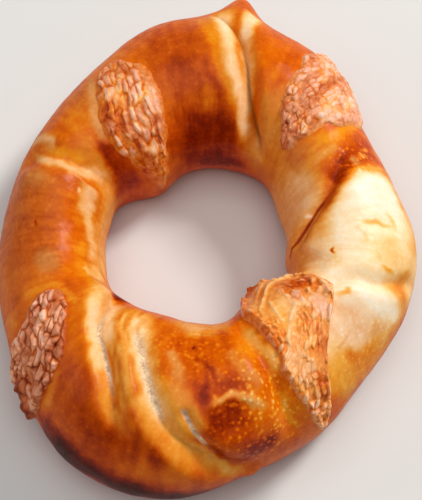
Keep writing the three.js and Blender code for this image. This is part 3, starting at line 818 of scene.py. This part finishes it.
def build_bread(material):
    """The rope closed into a ring, its rows leaning like the turns of the dough, and its flat underside.

    A point is on the rope's oval section, moved out by the source's relief, the small forms, raised lines
    as bell curves, clouds of dents and the threads. The underside runs straight between the lower edges.
    """
    turn = np.arange(RING_STEPS) / RING_STEPS * 360
    theta = np.linspace(-EDGE, 180 + EDGE, ROPE_STEPS + 1)
    turn, theta = np.meshgrid(turn, theta, indexing="ij")
    phi = turn + loop_value(DOUGH_LEANS, turn) * np.cos(theta * DEGREE)
    place = place_on_bread(phi, theta)
    plain = over_bread(place, 0, 0)
    nears = [nearest_on_line(fold.line, place) for fold in FOLDS]
    crumb, crease, sunk = torn_folds(plain, nears)
    threads = fibres(place)
    toast, bare, blisters = browning(place, plain, threads)

    relief = main_relief(place, nears) + sum(hump(place, bump) for bump in BLEMISHES)
    for line, height, width in WRINKLES:
        distance, _, share = nearest_on_line(line, place)
        relief = relief + height * falling(distance, width) * line_ends(share)
    relief = relief + clouds(plain, DENTS) - sunk + FIBRE_RELIEF * threads
    points = over_bread(place, 0, relief)
    inner, outer = points[:, -1:], points[:, :1]
    shares = (np.arange(1, UNDERSIDE_STEPS) / UNDERSIDE_STEPS)[None, :, None]
    points = np.concatenate([points, inner + (outer - inner) * shares], axis=1)

    levels = (toast, bare, crumb, crease, blisters)
    under = (UNDERSIDE_TOAST, 0, 0, 0, UNDERSIDE_BLISTERS)
    attributes = {
        key: np.pad(values, ((0, 0), (0, UNDERSIDE_STEPS - 1)), constant_values=level)
        for key, values, level in zip(CRUST_LEVELS, levels, under)}
    quads = tube_quads(RING_STEPS, ROPE_STEPS + UNDERSIDE_STEPS)
    add_piece("baked_ring", points.reshape(-1, 3), quads, attributes, material, "bread_ring")


# ---- The crusts ----

CRUST_GRID = (280, 120)
CRUST_DEPTH = 1.2

# Clouds, as strength, size in mm and a number that is added to the crust's own seed.
BORDER_DRIFT = [(1, 3.2, 0), (0.5, 1.5, 1)]
DRIFT_ALONG = [(1.6, 5, 2), (0.6, 1.8, 8)]
DRIFT_ACROSS = [(1, 5, 7), (0.5, 1.8, 10)]
GAPS_OPEN = [(1.1, 3.2, 9)]
PUCKERED = [(1, 4, 12)]
SAG = [(0.35, 6, 13)]
GRAIN = [(1, 1.1, 14)]
PALE_TOPS = [(1, 5, 15)]
MOTTLES = [(0.12, 6, 20), (0.13, 2.6, 6), (0.08, 1.2, 17)]
RUN_FAT = [(0.08, 4, 18)]
RIB_VARIES = [(0.4, 2, 16)]
EDGE_VARIES = [(0.3, 1.8, 19)]
CELLS_SEED = 3
# Puffs, as size in shares of a lump and the number that is added to the seed.
PUFFS = [(0.62, 4), (0.3, 5)]
VALLEY_POWER = 1.3
CREASE_SHARE = 0.6
PUCKER_WIDTH = 0.05
KNOBS_REACH = 3.0
RIM_PLACE, RIM_WIDTH = 1.5, 1.2
RIB_TAPER = 0.15

Lumps = namedtuple("Lumps", "chance gap dome stands crease height")


def lumps_of_cheese(crust, along, sideways, noise):
    """Lumps in cells that are turned by the crust's lean and pushed about by clouds.

    A lump is half a paraboloid round its cell's point, and half 1 less a falling curve of its gap, which is
    how much farther the next point is. Puffs are clouds without their sign, so that they meet in puckers.
    """
    soft, rough = crust.soft, crust.rough
    cosine, sine = np.cos(crust.lean * DEGREE), np.sin(crust.lean * DEGREE)
    u = along * cosine + sideways * sine + noise(DRIFT_ALONG)
    v = sideways * cosine - along * sine + noise(DRIFT_ACROSS)
    length, breadth = crust.cell
    nearest, following, chance = cells(u, v, length, breadth, crust.seed + CELLS_SEED)
    stretched = np.stack([u / length, v / breadth, 0 * u], axis=-1)
    puffs, small_puffs = (np.abs(cloud(stretched, size, crust.seed + draw)) for size, draw in PUFFS)

    gap = following - nearest
    opened = 0.1 + 0.9 * smooth_step(0.5 + noise(GAPS_OPEN))
    body = 1 - falling(gap, soft, VALLEY_POWER) * opened
    dome = 1 - np.minimum(nearest, 1) ** 2
    stands = smooth_step((chance - crust.sunk) / 0.2 + 0.5)
    height = stands * (0.5 * body + 0.5 * dome) * (0.6 + 0.6 * chance)
    height = height + (0.25 + 0.4 * rough) * (puffs - 0.3) + 0.3 * rough * (small_puffs - 0.3)

    crease = falling(gap, CREASE_SHARE * soft, VALLEY_POWER) * opened
    pucker = falling(puffs, PUCKER_WIDTH, 1) * smooth_step(0.4 + noise(PUCKERED)) * (0.4 + 0.6 * rough)
    return Lumps(chance, gap, dome, stands, np.maximum(crease, 0.7 * pucker), height)


def cheese_levels(crust, place, lumps, lumpy, noise):
    """scorch and golden: the crust's own levels and patches, then film, creases, pale tops and mottling."""
    levels = painted(crust.plain, crust.patches, place)
    # The creases' darker level is painted shade in the valleys between the lumps.
    for (darker, own), cover in (
        (crust.film, lumpy * (1 - lumps.stands * smooth_step(lumps.gap / 0.3))),
        (crust.crease, lumpy * lumps.crease),
    ):
        levels = toward(levels, [levels[0] + darker, own], cover)
    scorch, golden = levels
    # The lumps' paler tops: the cheese's pink, and partly a painted highlight.
    tops = lumps.dome ** 2 * lumpy * lumps.stands * smooth_step(0.5 + noise(PALE_TOPS))
    scorch = scorch + 0.2 * (0.5 - lumps.chance) * lumps.stands * lumpy - crust.pale * tops
    scorch = scorch + crust.uneven * noise(MOTTLES)
    return scorch, golden * (1 - 0.8 * tops) + noise(RUN_FAT)


def build_crust(name, crust, material):
    """A slab of cheese on the bread: film and lumps on top, and an underside sunk in the bread.

    Its rows and columns come from a smooth curve through the source's rows, with a border that drifts. The
    film is a part of the thickness, and the lumps lie on it. At the border both fall to the bread by a
    smooth step to the power 0.6.
    """
    share, across = np.meshgrid(*(np.linspace(0, 1, count) for count in CRUST_GRID), indexing="ij")
    theta, low, high = np.moveaxis(curve_value(crust.rows, share), -1, 0)
    phi = low + (high - low) * across
    place = place_on_bread(phi, theta)
    flat = over_bread(place, 0, 0)

    def noise(layers):
        """Clouds over the crust, whose seeds count from its own."""
        return clouds(flat, layers, crust.seed)

    middle = flat[:, CRUST_GRID[1] // 2]
    steps = np.linalg.norm(np.diff(middle, axis=0), axis=1)
    along = np.concatenate([[0], np.cumsum(steps)])[:, None]
    width = (high - low) * DEGREE * place.ring_radius
    sideways = (across - 0.5) * width
    to_border = np.minimum(0.5 * width - np.abs(sideways), np.minimum(share, 1 - share) * along.max())

    drift = crust.wander * noise(BORDER_DRIFT)
    pull = 2 * across - 1
    phi = phi + pull * np.abs(pull) * drift / (place.ring_radius * DEGREE)
    ends = 2 * share - 1
    theta = theta + ends * np.abs(ends) * drift / (place.rope_radius * DEGREE)
    place = place_on_bread(phi, theta)

    lumps = lumps_of_cheese(crust, along, sideways, noise)
    lumpy, = painted([crust.lumpy], crust.lumps, place)
    lumpy = np.maximum(lumpy, crust.knobs * falling(to_border, KNOBS_REACH))
    rim = crust.rim * falling(to_border - RIM_PLACE, RIM_WIDTH) * (0.6 + 0.8 * lumps.chance)
    height = 0.6 * (crust.thickness - crust.relief) + crust.relief * lumps.height * lumpy
    height = height + rim + noise(SAG) + (0.08 + 0.16 * crust.rough) * noise(GRAIN)
    height = smooth_step(to_border / (1.2 + crust.fade)) ** 0.6 * height

    scorch, golden = cheese_levels(crust, place, lumps, lumpy, noise)
    for line, rib_height, rib_width, *own in crust.ribs:
        distance, _, line_share = nearest_on_line(line, place)
        rib = falling(distance, rib_width) * line_ends(line_share, RIB_TAPER) * (0.8 + noise(RIB_VARIES))
        height = height + rib_height * rib * smooth_step(to_border / 1.2)
        scorch, golden = toward([scorch, golden], own, rib)
    edge = smooth_step(1 - to_border / crust.fade + noise(EDGE_VARIES))
    scorch, golden = toward([scorch, golden], crust.border, 0.9 * edge)
    height = height - 0.1 * smooth_step(1 - to_border)

    nears = [nearest_on_line(fold.line, place) for fold in FOLDS]
    relief = main_relief(place, nears, bridged=True)
    top = over_bread(place, height, relief).reshape(-1, 3)
    below = over_bread(place, -CRUST_DEPTH, relief).reshape(-1, 3)
    attributes = {"scorch": np.tile(scorch.ravel(), 2), "golden": np.tile(golden.ravel(), 2)}
    add_piece(name.replace("cheese_crust", "browned_cheese"), np.concatenate([top, below]),
              slab_quads(*CRUST_GRID), attributes, material, name)


cheese_materials = {
    "melted_cheese": cheese("dried_melted_cheese", gloss=0.34, wrinkled=0.45),
    "golden_cheese": cheese("golden_melted_cheese", gloss=0.16, wrinkled=0.22),
}
build_bread(egg_washed_crust())
for crust_name, crust_values in CRUSTS.items():
    build_crust(crust_name, crust_values, cheese_materials[crust_values.slot])

# ---- Floor, light and camera ----

FLOOR_HALF = 1.5
FLOOR_PATTERN = (1000 / 6, 2, 0.5)
FLOOR_TONES = [(0, "#DCDBD8"), (1, "#E0DFDC")]
ROOM_STRENGTH = 0.21
LIGHT_TARGET = (0, 0, 0.02)
# Name, position in m, size in m, power in W and colour.
LIGHTS = [
    ("window_behind", (0.95, 0.75, 1.2), 0.4, 20, "#FFFCF8"),
    ("ceiling", (0, -0.1, 2.0), 1.8, 17, "#FFFFFF"),
    ("soft_left", (-1.4, 0.1, 0.5), 0.8, 2.6, "#F8F6FF"),
]
CAMERA_ELEVATION = 66
CAMERA_DISTANCE = 0.56
FRAME_HEIGHT = 0.170
SENSOR = 36
# The camera aims a little right of and above the ring's middle, by this much in the picture's plane.
AIM_RIGHT, AIM_UP = 1.36, 2.04
AIM_HEIGHT = 20


def build_floor():
    """A plain pale floor: one square, with a soft uneven tone so that it isn't a flat colour."""
    mesh = bpy.data.meshes.new("studio_floor")
    half = FLOOR_HALF
    mesh.from_pydata([(-half, -half, 0), (half, -half, 0), (half, half, 0), (-half, half, 0)],
                     [], [(0, 1, 2, 3)])
    material, tree, _, _, (tone,) = new_material("pale_matt_floor", (), [FLOOR_PATTERN])
    colour = add(tree, "ValToRGB", {"Fac": tone}, stops=FLOOR_TONES)
    add_surface(tree, {"Base Color": colour, "Roughness": 0.8, "Specular IOR Level": 0.2})
    mesh.materials.append(material)
    floor = bpy.data.objects.new("studio_floor", mesh)
    bpy.context.collection.objects.link(floor)


def aim(thing, position, target):
    """Puts a light or camera at a position, looking at a target, with +Z up."""
    back = (Vector(position) - Vector(target)).normalized()
    right = Vector((0, 0, 1)).cross(back).normalized()
    up = back.cross(right)
    turned = Matrix((right, up, back)).transposed().to_4x4()
    thing.matrix_world = Matrix.Translation(position) @ turned


def add_light(name, position, size, power, colour):
    """A square area light that looks at the middle of the bread."""
    light = bpy.data.lights.new(name, "AREA")
    light.size = size
    light.energy = power
    light.color = linear(colour)[:3]
    thing = bpy.data.objects.new(name, light)
    bpy.context.collection.objects.link(thing)
    aim(thing, position, LIGHT_TARGET)


def add_camera():
    """A camera in front of the bread and high over it, its picture 170 mm high at the bread."""
    cosine, sine = np.cos(CAMERA_ELEVATION * DEGREE), np.sin(CAMERA_ELEVATION * DEGREE)
    middle = Vector((RING_MIDDLE[0], RING_MIDDLE[1], AIM_HEIGHT)) * MM
    target = middle + Vector((AIM_RIGHT, AIM_UP * sine, AIM_UP * cosine)) * MM
    camera = bpy.data.cameras.new("camera")
    camera.sensor_fit = "VERTICAL"
    camera.sensor_height = SENSOR
    camera.lens = SENSOR * CAMERA_DISTANCE / FRAME_HEIGHT
    camera.clip_start = 0.01
    thing = bpy.data.objects.new("camera", camera)
    bpy.context.collection.objects.link(thing)
    aim(thing, target + Vector((0, -cosine, sine)) * CAMERA_DISTANCE, target)
    bpy.context.scene.camera = thing


def light_room(colour, strength):
    """An even, pale light from all round."""
    world = bpy.data.worlds.new("pale_room")
    world.use_nodes = True
    background = world.node_tree.nodes["Background"]
    background.inputs["Color"].default_value = linear(colour)
    background.inputs["Strength"].default_value = strength
    bpy.context.scene.world = world


build_floor()
light_room("#FFFFFF", ROOM_STRENGTH)
for light_values in LIGHTS:
    add_light(*light_values)
add_camera()
bpy.context.scene.view_settings.view_transform = "Standard"
